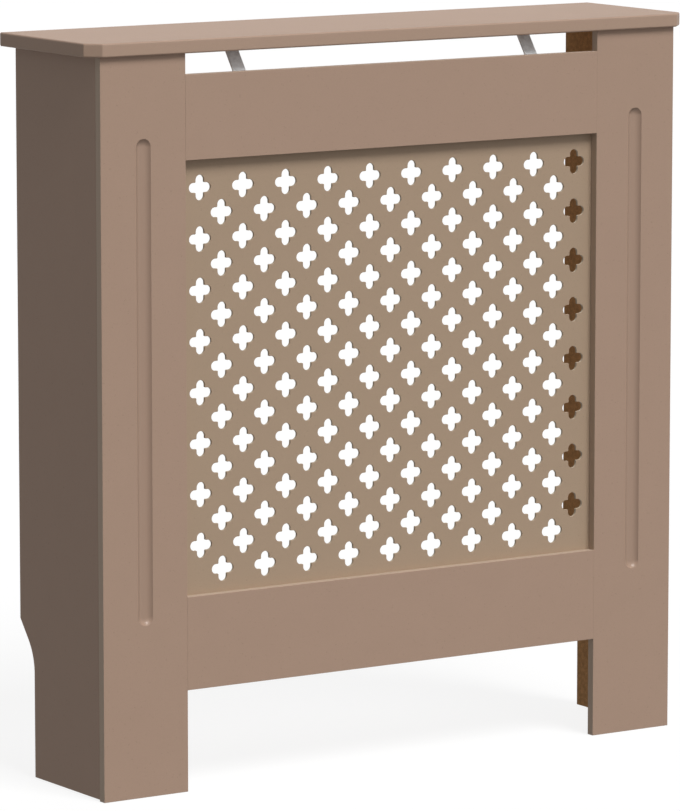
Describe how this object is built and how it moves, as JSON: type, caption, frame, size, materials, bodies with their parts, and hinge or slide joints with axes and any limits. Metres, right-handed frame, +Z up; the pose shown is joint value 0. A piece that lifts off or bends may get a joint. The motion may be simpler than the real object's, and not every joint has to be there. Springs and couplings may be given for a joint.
{
  "type": "radiator cover cabinet",
  "caption": "Free-standing radiator cover with a shelf, side panels cut out for the skirting board, and a front frame round a pierced lattice; open at the back.",
  "frame": {"origin": "on the floor, under the middle of the shelf in width and depth", "axes": "+X to the right along the front, the front faces -Y, the wall is at +Y, +Z up"},
  "size_m": [0.78, 0.19, 0.815],
  "materials": {
    "mdf_board": "raw medium brown fibreboard, machined, matt",
    "lattice_sheet": "thin raw fibreboard sheet, machine cut, matt",
    "strap_steel": "dull grey zinc-plated strip",
    "bracket_steel": "bright zinc plate",
    "screw_steel": "bright zinc plate",
    "cam_zinc": "cast zinc alloy",
    "dowel_beech": "plain beech",
    "block_plastic": "moulded white plastic",
    "glide_plastic": "moulded dark plastic"
  },
  "bodies": {
    "root": {"top_shelf": "mdf_board", "left_side_panel": "mdf_board", "right_side_panel": "mdf_board", "left_stile": "mdf_board", "right_stile": "mdf_board", "upper_rail": "mdf_board", "lower_rail": "mdf_board", "lattice_panel": "lattice_sheet", "left_shelf_strap": "strap_steel", "right_shelf_strap": "strap_steel", "left_wall_bracket": "bracket_steel", "right_wall_bracket": "bracket_steel", "strap_rail_screws": "screw_steel", "strap_shelf_screws": "screw_steel", "lattice_screws": "screw_steel", "block_panel_screws": "screw_steel", "block_stile_screws": "screw_steel", "wall_bracket_screws": "screw_steel", "shelf_cam_bolts": "screw_steel", "shelf_cam_locks": "cam_zinc", "shelf_dowels": "dowel_beech", "front_dowels": "dowel_beech", "rail_dowels": "dowel_beech", "left_corner_blocks": "block_plastic", "right_corner_blocks": "block_plastic", "left_floor_glides": "glide_plastic", "right_floor_glides": "glide_plastic"}
  },
  "joints": []
}
